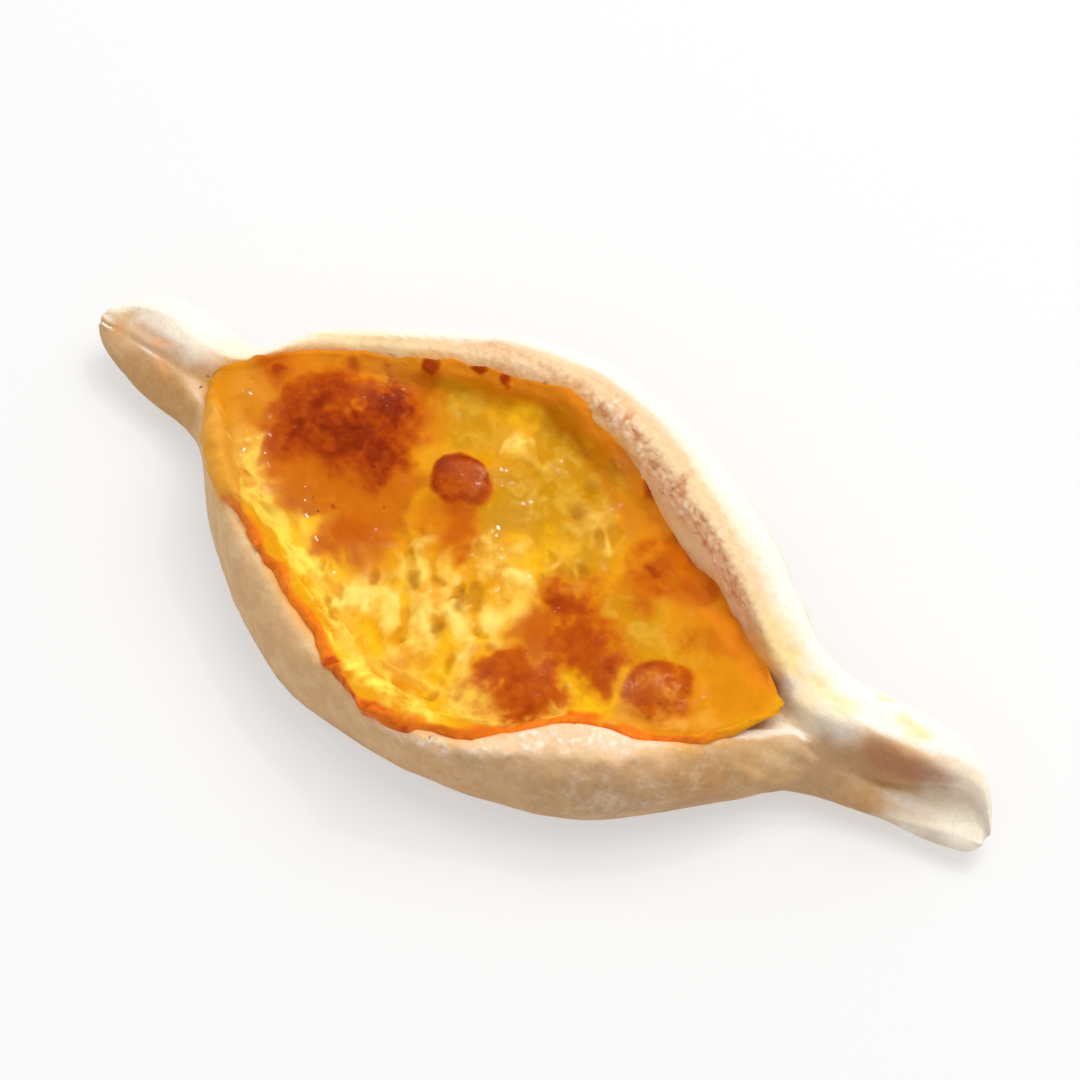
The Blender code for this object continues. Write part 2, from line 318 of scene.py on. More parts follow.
def evenCopy(node, name, size):
    # a copy of a CAD node with fine triangles of an even size, and coarse ones where nothing shows
    made = bpy.data.objects.new(name, bpy.data.meshes.new(name))
    bpy.context.scene.collection.objects.link(made)
    shape = bmesh.new()
    shape.from_mesh(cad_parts[node].data)
    bmesh.ops.remove_doubles(shape, verts=shape.verts, dist=1e-6)
    longest = size["triangle"] * 1
    for _ in range(meshing["splits"]):
        split = [e for e in shape.edges if e.calc_length() > longest * mm and needsSplit(e, node)]
        if not split:
            break
        bmesh.ops.subdivide_edges(shape, edges=split, cuts=1)
        bmesh.ops.triangulate(shape, faces=[f for f in shape.faces if len(f.verts) > 3])
        flat = [e for e in shape.edges if e.is_manifold and e.calc_face_angle() < meshing["turnable"]]
        bmesh.ops.beautify_fill(shape, faces=shape.faces, edges=flat, method="AREA")
    shape.to_mesh(made.data)
    shape.free()
    evened(made.data, size["softEnds"], size["softPlaces"])
    applied(made, "SUBSURF", levels=meshing["halvings"], render_levels=meshing["halvings"])
    hidden = [v.index for v in made.data.vertices if isHidden(v.co, node)]
    made.data.calc_loop_triangles()
    share = size["mostTriangles"] / len(made.data.loop_triangles)
    if share < 1:
        group = made.vertex_groups.new(name="hidden")
        group.add(range(len(made.data.vertices)), meshing["thinShown"], "REPLACE")
        group.add(hidden, 1.0, "REPLACE")
        applied(made, "DECIMATE", ratio=share, vertex_group="hidden", vertex_group_factor=1.0)
        made.vertex_groups.clear()
    made.data.calc_loop_triangles()
    print(name, "has", len(made.data.loop_triangles), "triangles")
    return made


def isHidden(place, node):
    # on the floor, or against the other node
    if place.z < meshing["overFloor"] * mm:
        return True
    others = [tree for name, tree in cadTrees.items() if name != node]
    return any(tree.find_nearest(place, meshing["touching"] * mm)[0] for tree in others)


def needsSplit(edge, node):
    if edge.calc_length() > meshing["hiddenTriangle"] * mm:
        return True
    return not isHidden((edge.verts[0].co + edge.verts[1].co) / 2, node)


def evened(mesh, softEnds, softPlaces):
    # takes the facets out of a mesh and keeps its size: each step in is followed by one out
    points = pointsOf(mesh)
    onFloor = points[:, 2] < 0.05
    ends = smoothStep(*meshing["endsFrom"], np.abs(points[:, 0]))[:, None]
    steps = [0.5, -0.52] * meshing["evening"]
    steps += [0.5 * ends] * softEnds  # these only round off the two ends
    if softPlaces:
        steps += [0.7 * heaped(points, softPlaces)[:, None]] * meshing["spotRounds"]
    around = neighbourMean(mesh)
    for step in steps:
        pull = around(points) - points
        pull[onFloor, 2] = 0
        points += step * pull
    setPoints(mesh, points)


def neighbourMean(mesh):
    # gives a function that averages columns of numbers over the points that share an edge with each point
    ends = np.zeros(len(mesh.edges) * 2, int)
    mesh.edges.foreach_get("vertices", ends)
    first, second = ends.reshape(-1, 2).T
    size = len(mesh.vertices)
    count = (np.bincount(first, minlength=size) + np.bincount(second, minlength=size))[:, None]

    def around(values):
        sums = [
            np.bincount(first, column[second], size) + np.bincount(second, column[first], size)
            for column in values.T
        ]
        return np.stack(sums, 1) / count

    return around


def applied(piece, kind, **settings):
    # works a modifier into the piece's mesh
    modifier = piece.modifiers.new(kind.title(), kind)
    for key, value in settings.items():
        setattr(modifier, key, value)
    sight = bpy.context.evaluated_depsgraph_get()
    shaped = piece.evaluated_get(sight)
    mesh = bpy.data.meshes.new_from_object(shaped, preserve_all_data_layers=True, depsgraph=sight)
    piece.modifiers.clear()
    old, piece.data = piece.data, mesh
    bpy.data.meshes.remove(old)
    mesh.name = piece.name


def pointsOf(mesh):
    flat = np.zeros(len(mesh.vertices) * 3)
    mesh.vertices.foreach_get("co", flat)
    return flat.reshape(-1, 3) / mm


def normalsOf(mesh):
    flat = np.zeros(len(mesh.vertices) * 3)
    mesh.vertex_normals.foreach_get("vector", flat)
    return flat.reshape(-1, 3)


def setPoints(mesh, points):
    low, high = (np.array(corner) / mm for corner in cadBox)
    mesh.vertices.foreach_set("co", (np.clip(points, low, high) * mm).ravel())
    mesh.update()


def setMasks(mesh, masks):
    for name, values in masks.items():
        layer = mesh.attributes.new(name, "FLOAT", "POINT")
        layer.data.foreach_set("value", np.clip(values, 0, 1).astype(np.float32))


def finished(piece, paint, node):
    piece.data.materials.clear()
    piece.data.materials.append(paint.material)
    piece.data.shade_smooth()
    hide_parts(node)
    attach(piece, "root")


# Lines and spots are pixels of the photograph, with widths, heights and radii in mm.
dough = {
    "triangle": 2.7,  # longest edge in mm, before it is halved twice
    "mostTriangles": 190000,
    "softEnds": 8,
    "softPlaces": [
        (192, 386, 4.5), (174, 370, 4.0), (154, 354, 4.0), (136, 343, 3.4), (122, 336, 3.0),
        (109, 330, 2.2), (790, 722, 5.0), (775, 705, 4.0),
    ],
    "lumps": [(14.0, 0.40), (6.0, 0.26), (2.4, 0.10)],  # (size, height)
    "crumbs": 0.55,
    "flakes": 0.45,
    "dimpleLift": -0.45,
    "bumpLift": 0.4,
    "grooveFade": 0.3,  # share of a groove's length over which it dies out at each end
    "brownRim": (4.0, 1.2),  # how far from its line a finish starts, and where it is full
    "paleRim": (2.8, 0.9),
    "ledgeWidth": 1.1,
    "necks": (38, 54),  # where the pinched ends start and are whole, in mm from the middle
}
rimBrownFar = [
    (420, 347), (472, 352), (502, 361), (543, 376), (575, 392), (603, 410), (625, 436), (648, 462),
    (668, 486), (690, 512), (708, 538), (722, 562), (736, 592), (747, 618), (753, 636),
]
rimPaleNear = [
    (385, 722), (409, 731), (440, 741), (476, 743), (516, 741), (556, 738), (590, 738), (622, 745),
    (645, 750),
]
ledgeBrown = [(440, 752), (480, 758), (520, 760), (562, 761), (602, 765), (640, 768), (666, 764)]
doughRibs = [
    # (line, width, height): raised folds, edges and lips
    ([(124, 315), (140, 321), (160, 331), (179, 343), (196, 351)], 1.1, 0.35),
    ([(111, 334), (120, 331), (129, 332), (149, 343), (163, 349)], 0.7, 0.25),
    ([(786, 694), (804, 706), (828, 715), (852, 722)], 2.0, 1.1),
    ([(862, 786), (888, 788), (913, 787), (940, 788)], 0.7, 0.35),
    ([(874, 811), (896, 820), (917, 823), (939, 829), (963, 834)], 0.8, 0.40),
    ([(801, 715), (828, 718), (860, 726), (890, 740), (911, 757), (933, 771), (955, 783)], 1.3, 0.35),
]
doughGrooves = [
    # (line, width, depth, how orange, how buttery)
    ([(126, 319), (135, 327), (149, 336), (163, 344), (176, 352)], 0.8, 0.75, 1.0, 0.0),
    ([(109, 338), (113, 328), (117, 320)], 0.6, 0.45, 0.8, 0.0),
    ([(149, 345), (158, 354), (164, 366), (172, 375)], 0.7, 0.30, 0.6, 0.0),
    ([(728, 755), (745, 765), (761, 771), (777, 778), (793, 777), (812, 771)], 0.8, 0.35, 0.2, 0.4),
    ([(793, 642), (795, 679)], 1.3, 0.45, 0.0, 1.0),
    ([(801, 667), (824, 686), (844, 703), (868, 715)], 1.1, 0.40, 0.0, 1.0),
    ([(874, 691), (892, 701)], 1.0, 0.25, 0.0, 1.0),
    ([(886, 711), (911, 723), (925, 733), (943, 737)], 1.0, 0.45, 0.0, 1.0),
    ([(905, 796), (935, 797), (962, 795)], 1.6, 0.55, 0.0, 0.0),
]
doughDimples = [(785, 757, 1.6), (797, 763, 1.2), (771, 749, 1.1), (805, 786, 1.3), (735, 778, 1.2)]
doughBumps = [(710, 784, 1.8), (690, 780, 1.5), (752, 781, 1.6)]
# spots painted near white at the two ends: painted light on their lit tops
litTipSpots = [
    (950, 832, 4.5), (972, 815, 4.0), (966, 770, 4.0), (950, 806, 3.0), (905, 826, 3.0), (985, 800, 4.0),
    (978, 838, 4.0), (796, 690, 2.6), (808, 704, 3.0), (828, 712, 3.0), (848, 719, 2.4), (148, 312, 3.6),
    (168, 322, 3.6), (188, 334, 3.6), (206, 346, 3.0),
]
# spots at the left neck where the painted light is taken off again
dullNeck = [(196, 393, 3.2), (190, 384, 3.0), (182, 377, 2.6), (172, 370, 2.2)]
doughZones = {  # places of one colour each
    "toasted": [(878, 755, 2.4), (902, 767, 3.0), (926, 778, 3.0)],
    # buttery places; the last three, on the shaded inner wall and in the channel at the right end, are
    # painted pale as painted light
    "buttery": [
        (786, 640, 3.0), (350, 341, 4.6), (238, 352, 3.4), (762, 642, 3.0), (760, 664, 2.6), (806, 704, 2.6),
    ],
    # places painted a darker golden tan: partly the bake and partly painted shade on shaded near faces
    "golden": [
        (720, 762, 6.0), (690, 758, 4.0), (748, 748, 4.0), (882, 804, 4.6), (150, 372, 5.0), (176, 398, 5.0),
        (196, 410, 3.0), (193, 385, 4.0),
    ],
    "peach": [
        (134, 330, 3.4), (165, 343, 3.4), (196, 362, 3.6), (600, 415, 3.4), (645, 750, 3.4), (615, 746, 2.6),
    ],
    "flour": [(590, 790, 8.0), (640, 790, 7.0), (480, 745, 4.0), (700, 780, 5.0), (410, 755, 5.0)],
}


def makeDough():
    piece = evenCopy("dough_boat", "doughBoat", dough)
    mesh = piece.data
    points, normals = pointsOf(mesh), normalsOf(mesh)
    smooth = treeOf(mesh)
    base = smoothStep(0.3, 3.5, points[:, 2])  # the flat underside stays flat
    cheeseTree = cadTrees["cheese_filling"]
    toCheese = np.array([cheeseTree.find_nearest(Vector(p) * mm)[3] for p in points.tolist()]) / mm
    uncovered = smoothStep(0.45, 0.75, toCheese)

    lift = sum(depth * grain(points, size, 3.1 * size) for size, depth in dough["lumps"])
    loose = warped(points, 3.0, 0.7, 5.0)
    far, farAlong = lineReach(loose, rimBrownFar)
    brownRim = smoothStep(*dough["brownRim"], far)
    brownRim = brownRim * smoothStep(0.0, 0.06, farAlong) * smoothStep(0.0, 0.1, 1 - farAlong)
    brownRim *= 0.5 + 0.5 * smoothStep(0.25, 0.5, farAlong)
    near, nearAlong = lineReach(loose, rimPaleNear)
    paleRim = smoothStep(*dough["paleRim"], near) * smoothStep(0.0, 0.05, 1 - nearAlong)
    crumbs = 0.6 * domes(loose, 1.5, 2.0) + 0.4 * domes(points, 0.75, 7.0)
    lift += dough["crumbs"] * (crumbs - 0.4) * brownRim
    flaky = 0.6 * domes(loose * (1, 1, 2.0), 1.6, 9.0) + 0.4 * domes(points, 0.8, 4.0)
    lift += dough["flakes"] * (flaky - 0.45) * paleRim

    for line, width, height in doughRibs:
        lift += height * rib(points, line, width)
    crease, hollow = np.zeros(len(points)), np.zeros(len(points))
    for line, width, depth, howOrange, howButtery in doughGrooves:
        lift -= depth * rib(points, line, width, dough["grooveFade"])
        wide = rib(loose, line, 1.5 * width, dough["grooveFade"])
        crease = np.maximum(crease, wide * howOrange)
        hollow = np.maximum(hollow, wide * howButtery)
    for spots, height in ((doughDimples, dough["dimpleLift"]), (doughBumps, dough["bumpLift"])):
        for middle, radius in spotsOnBoat(spots):
            away = np.linalg.norm(points - middle, axis=1) / radius
            lift += height * np.exp(-away ** 2)

    lift *= base * (0.25 + 0.75 * uncovered)
    setPoints(mesh, points + normals * lift[:, None])

    # where the dough is pale, where it faces the light and is painted paler (painted light), where it is in
    # its own shade and painted darker (painted shade), or where it lies against the cheese
    farFacing = normals @ (0.55 * upward + 0.1 * rightward + (0, 0, 0.83))
    ends = smoothStep(*dough["necks"], np.abs(points[:, 0]))
    # painted light: faces turned to the far side, and faces at the ends turned to the light, are painted
    # near white, as if lit
    white = np.maximum(smoothStep(0.0, 0.6, normals[:, 1]), ends * smoothStep(0.5, 0.82, farFacing))
    white = np.maximum(white * smoothStep(0.0, 0.45, normals[:, 2]), 0.8 * heaped(loose, litTipSpots))
    white *= 1 - 0.85 * heaped(loose, dullNeck)
    # painted light: the inner face of the far wall, which lies in shade, is painted paler, as if lit
    innerFar = smoothStep(0.1, -0.4, normals[:, 1]) * smoothStep(4, 12, points[:, 1]) * (points[:, 2] > 6)
    # the near outer side is painted tan: partly the bake and partly painted shade on the side turned from
    # the light; low down the tan reaches further round, as painted shade
    outNear = smoothStep(0.15, 0.8, -normals[:, 1])
    outNear = np.maximum(outNear, smoothStep(9, 3, points[:, 2]) * smoothStep(3, -5, points[:, 1]))
    outFar = smoothStep(0.1, 0.7, normals[:, 1]) * smoothStep(0.5, 0.05, normals[:, 2])
    shaded = np.maximum(smoothStep(-5, 45, points[:, 0]), 0.9 * smoothStep(11, 4, points[:, 2]))
    masks = {name: heaped(loose, spots) for name, spots in doughZones.items()}
    masks.update(
        brownRim=brownRim, crumbs=crumbs, paleRim=paleRim, flaky=flaky, crease=crease, hollow=hollow,
        white=white, outNear=outNear, outFar=outFar, innerFar=innerFar, shaded=outNear * shaded,
        ledgeBrown=rib(loose, ledgeBrown, dough["ledgeWidth"]),
        oily=np.exp(-np.maximum(toCheese - 0.5, 0) / 0.6),
        baked=1 - smoothStep(0.0, 2.5, points[:, 2]),
    )
    setMasks(mesh, masks)
    return piece, smooth, lift


doughTones = {
    "pale": tone(238, 206, 158),
    "white": tone(252, 248, 236),
    "tan": tone(210, 164, 114),
    "shade": tone(184, 144, 104),
    "golden": tone(198, 144, 80),
    "brown": tone(208, 138, 84),
    "pink": tone(248, 206, 166),
    "inner": tone(254, 224, 176),
    "oil": tone(240, 176, 92),
    "crease": tone(238, 160, 92),
    "toasted": tone(168, 98, 66),
    "butter": tone(252, 220, 146),
    "peach": tone(240, 190, 140),
    "scorch": tone(166, 108, 62),
}


def doughPaint():
    paint = Paint("bakedDough", {
        "Roughness": 0.72,
        "Specular IOR Level": 0.25,
        "Subsurface Weight": 0.12,
        "Subsurface Scale": 0.004,
        "Subsurface Radius": (1.0, 0.6, 0.35),
    })
    mask = paint.mask
    broad, middle, fine = paint.speckle(14), paint.speckle(4.5), paint.speckle(1.1, 4)
    some, more = paint.range(middle, 0.3, 0.7), paint.range(fine, 0.35, 0.65)
    # the furrows between the rim's crumbs, painted browner below: partly painted shade and partly toasting
    furrows = 1 - paint.range(mask("crumbs"), 0.25, 0.65)
    toasting = paint.range(paint.speckle(3.0, 4), 0.40, 0.6)
    oily = (mask("oily") * (0.5 + 0.9 * some)).clamp()
    flour = paint.range(paint.speckle(0.6, 5, 0.7), 0.56, 0.68) * paint.range(middle, 0.42, 0.6)
    dusted = mask("flour") * paint.range(paint.speckle(3.4, 4), 0.44, 0.62)
    colour = paint.coats(doughTones, "pale", [
        ("tan", paint.range(broad, 0.35, 0.68) * 0.5),
        # partly the bake and partly painted shade: the near side in tan
        ("tan", (mask("outNear") * (0.6 + 0.5 * some)).clamp() * 0.85),
        ("tan", mask("outFar") * (0.4 + 0.4 * some)),
        ("shade", mask("shaded") * (0.65 + 0.35 * some)),
        # partly golden bake and partly painted shade
        ("golden", mask("golden") * (0.55 + 0.4 * some)),
        ("peach", mask("peach") * 0.6),
        # painted light on the lit faces; the same near-white tone also serves for flour and crumbs below
        ("white", mask("white") * 0.92),
        # partly butter colour and partly painted light
        ("butter", (mask("buttery") * (0.3 + 0.4 * some) + mask("hollow") * 0.7).clamp()),
        ("toasted", mask("toasted") * mask("outNear") * (0.7 + 0.3 * more) * 0.85),
        # painted light on the shaded inner face of the far wall
        ("inner", mask("innerFar") * 0.85),
        # the far rim: crumbs painted white on their tops as painted highlight, and browner in their furrows,
        # partly painted shade
        ("pink", mask("brownRim") * 0.75),
        ("brown", mask("brownRim") * (0.2 + 0.8 * furrows) * (0.15 + 0.8 * toasting)),
        ("white", mask("brownRim") * paint.range(mask("crumbs"), 0.6, 1.0) * 0.5),
        ("pink", mask("paleRim") * 0.75),
        ("white", mask("paleRim") * paint.range(mask("flaky"), 0.5, 0.95) * 0.6),
        ("shade", mask("ledgeBrown") * (0.4 + 0.6 * more)),
        ("crease", mask("crease") * 0.8),
        ("oil", oily * 0.85),
        ("scorch", mask("baked") * (0.2 + 0.6 * paint.range(broad, 0.35, 0.65))),
        ("white", (flour * 0.12 + dusted * (0.06 + 0.14 * more)).clamp()),
    ])
    paint.feed("Base Color", paint.shade(colour, paint.range(fine, 0.25, 0.75, (0.94, 1.05))))
    paint.feed("Roughness", 0.76 - 0.3 * oily)
    skin = paint.speckle(0.55, 5, 0.65) + 0.5 * paint.speckle(0.22, 3)
    paint.feed("Normal", paint.bumps(skin, 0.10, 0.7, paint.bumps(paint.speckle(2.2, 3), 0.35, 0.5)))
    return paint


cheese = {
    "triangle": 1.9,
    "mostTriangles": 190000,
    "softEnds": 0,
    "softPlaces": [],
    "lumps": [(9.0, 0.30), (4.0, 0.22), (1.9, 0.09)],
    "web": 0.40,
    "clusterLumps": 0.50,
    "crinkles": 0.24,
    "spotLift": 0.22,
    "lobeLift": 0.55,
    "edgeCrust": 0.60,
    "crescentWidth": 1.7,
    "ridgeWidth": 1.9,
    "filmLineWidth": 1.3,
    "crustWidth": 1.35,
    "burntWidth": 3.6,
    "nearCorners": ((-48, -36), (48, 38)),  # x where the near crust starts and is whole, at each end
    "sink": 0.35,  # how far the edge is pushed into the dough
    "seat": 0.3,  # how much further, and twice that where it faces the dough
    "nearBead": 1.0,  # how far in from its edge the cheese has its full height: near, and in the far film
    "farBead": 2.6,
    "wander": 0.8,  # how far the edge wanders along the dough
    "spill": 1.3,  # how much further out it lies where the crust is lumpy
}
cluster = [
    (298, 420, 6.2), (352, 432, 7.0), (385, 408, 5.6), (340, 397, 5.2), (390, 436, 4.4), (366, 454, 4.4),
]
clusterDark = [(352, 438, 4.4), (392, 405, 3.6), (372, 452, 3.2), (326, 408, 2.8), (300, 425, 2.4)]
clusterLight = [(345, 416, 2.4), (364, 404, 2.2), (318, 400, 2.2)]
clusterHalo = [(330, 470, 7.0), (380, 476, 6.0), (290, 455, 5.0), (300, 380, 5.0), (420, 430, 4.0)]
blisters = [
    # (pixel x, pixel y, radius, softness of its lower side, how burnt, way to its darkest side: right, up)
    (460, 477, 5.2, 0.35, 0.50, (-0.4, 0.9)),
    (660, 686, 5.8, 0.85, 0.34, (-0.6, 0.8)),
    (662, 562, 5.6, 1.20, 0.26, (-0.3, -0.9)),
]
patches = [
    (580, 640, 7.0), (572, 610, 5.6), (600, 664, 4.4), (515, 682, 6.2), (494, 672, 4.4), (540, 690, 4.2),
]
softBrown = [
    (360, 533, 5.4), (452, 530, 5.0), (456, 512, 4.4), (462, 556, 3.0), (330, 548, 3.0), (540, 640, 6.0),
    (700, 582, 3.4), (280, 367, 3.8), (432, 365, 2.6), (660, 570, 5.6), (585, 640, 5.0),
]
darkSpots = [
    (652, 485, 2.2), (430, 366, 1.6), (278, 369, 1.6), (505, 381, 1.2), (478, 370, 1.3), (334, 506, 0.7),
]
darkCrescent = [(648, 556), (653, 568), (662, 579), (676, 587)]
# spots painted pink on crinkled cheese: painted highlight, small pinkish glints
pinkGlintSpots = [(272, 495, 2.6), (676, 684, 2.4), (470, 474, 1.8)]
wetSpots = [
    (300, 520, 3.0), (312, 545, 3.0), (335, 590, 2.4), (345, 640, 2.4), (405, 665, 2.4), (500, 560, 3.4),
    (520, 520, 3.4), (240, 430, 3.0), (252, 455, 3.0), (262, 482, 3.0), (272, 503, 3.0), (385, 385, 3.0),
    (645, 680, 3.4), (462, 468, 3.0), (540, 662, 2.4), (620, 470, 2.0), (250, 390, 2.4),
    (470, 690, 3.0), (440, 600, 3.4), (590, 520, 2.6), (365, 565, 2.6),
]
bareSpots = [(668, 522, 2.6), (682, 542, 2.6), (693, 562, 2.2)]  # dough that comes through the thin film
pores = [
    (590, 489, 1.7), (577, 515, 1.3), (583, 572, 1.3), (412, 580, 1.7), (375, 577, 1.1), (458, 602, 1.6),
    (437, 628, 1.5), (399, 636, 0.9), (548, 590, 0.8),
]
bubbles = [(428, 530, 1.1), (550, 597, 1.1), (497, 562, 0.7), (512, 552, 0.7)]
overflowRidge = [
    (238, 425), (247, 452), (252, 480), (262, 500), (270, 522), (283, 545), (300, 562), (322, 586),
]
overflowLobes = [
    (224, 388, 5.5), (216, 430, 4.0), (228, 470, 5.0), (252, 470, 3.0), (240, 500, 3.2), (262, 370, 4.0),
]
strands = [
    # (line, width, height)
    ([(300, 512), (308, 540), (318, 566), (330, 596)], 0.7, 0.45),
    ([(338, 600), (346, 622), (350, 642), (362, 655), (384, 662), (404, 676)], 0.55, 0.40),
    ([(332, 612), (345, 645), (362, 660), (386, 670)], 1.3, 0.8),
    ([(386, 668), (410, 676), (432, 690), (462, 697)], 0.7, 0.35),
    ([(470, 700), (500, 706), (530, 704), (560, 694)], 0.8, 0.35),
    ([(440, 706), (470, 712), (500, 716), (535, 708)], 0.7, 0.35),
    ([(512, 455), (530, 462), (545, 470), (552, 462)], 0.7, 0.30),
    ([(486, 575), (500, 560), (520, 548), (535, 540)], 0.9, 0.40),
    ([(560, 524), (580, 534), (596, 526), (604, 510)], 0.7, 0.40),
    ([(622, 700), (640, 712), (668, 722), (690, 730)], 0.9, 0.35),
]
filmLine = [
    (500, 388), (530, 395), (550, 408), (566, 432), (590, 454), (608, 478), (620, 506), (630, 520),
    (634, 548),
]
crustDark = [(318, 640), (334, 668), (360, 694), (386, 712), (412, 730)]
colourZones = {  # where each colour of the cheese is thickest
    "cream": [
        (390, 590, 7.5), (430, 625, 7.0), (500, 595, 6.0), (345, 600, 5.0), (450, 660, 6.0), (545, 575, 4.5),
        (520, 450, 4.0), (600, 525, 3.2),
    ],
    "yellow": [
        (320, 590, 3.4), (350, 645, 4.0), (455, 700, 4.0), (590, 694, 4.0), (300, 540, 2.6), (440, 660, 3.6),
        # the last yellow place lightens cheese that lies in the far wall's shade: painted light
        (545, 555, 3.6), (410, 585, 2.6), (480, 635, 2.6), (522, 402, 3.4),
    ],
    "olive": [
        (555, 455, 6.0), (590, 510, 5.5), (525, 500, 6.0), (470, 414, 4.4), (560, 555, 4.0), (640, 625, 4.5),
        (625, 640, 3.0), (690, 650, 3.0),
    ],
    "amber": [
        (600, 435, 4.0), (650, 525, 5.0), (745, 680, 4.5), (700, 610, 4.0), (650, 735, 5.0), (245, 385, 5.0),
        (330, 362, 5.0), (560, 385, 4.5), (405, 690, 3.0), (700, 715, 4.0), (710, 640, 5.0),
        # these three amber places lighten cheese that lies in the far wall's shade: painted light
        (590, 420, 4.0), (530, 384, 4.0), (490, 378, 4.0),
    ],
    "orange": [
        (265, 425, 4.5), (310, 478, 5.0), (370, 495, 5.5), (425, 395, 3.6), (640, 600, 3.0), (620, 460, 2.4),
        (690, 590, 3.0), (735, 640, 2.6), (706, 640, 3.4),
    ],
    "apricot": [
        (216, 425, 4.2), (226, 468, 4.6), (250, 480, 3.2), (238, 440, 3.0), (700, 722, 3.0), (640, 722, 3.0),
    ],
    # pale butter-yellow folds along the near edge: partly the cheese's own colour and partly painted
    # highlight
    "butter": [
        (306, 572, 2.2), (322, 600, 2.4), (336, 628, 2.6), (352, 655, 2.6), (385, 682, 2.6), (425, 702, 3.0),
        (470, 708, 2.8), (515, 712, 2.6), (560, 704, 2.4), (465, 680, 2.6),
    ],
}


def blisterField(points, blister):
    # how far inside a browned bubble each point is, from 1 in its middle, and how far to its darkest side
    softness, darkWay = blister[3], blister[5]
    middle, radius = spotsOnBoat([blister[:3]])[0]
    offset = (warped(points, 3.0, 0.45, 12.0) - middle) / radius
    right, up = offset @ rightward, offset @ upward
    inside = 1 - np.linalg.norm(offset, axis=1)
    soft = softness * (0.35 + 0.65 * smoothStep(0.2, -0.7, up))
    share = smoothStep(-0.05 - 0.6 * soft, 0.14 + 0.4 * soft, inside)
    turned = (right * darkWay[0] + up * darkWay[1]) / np.maximum(1 - inside, 0.2)
    return inside, share, np.clip(0.5 + 0.5 * turned, 0, 1)


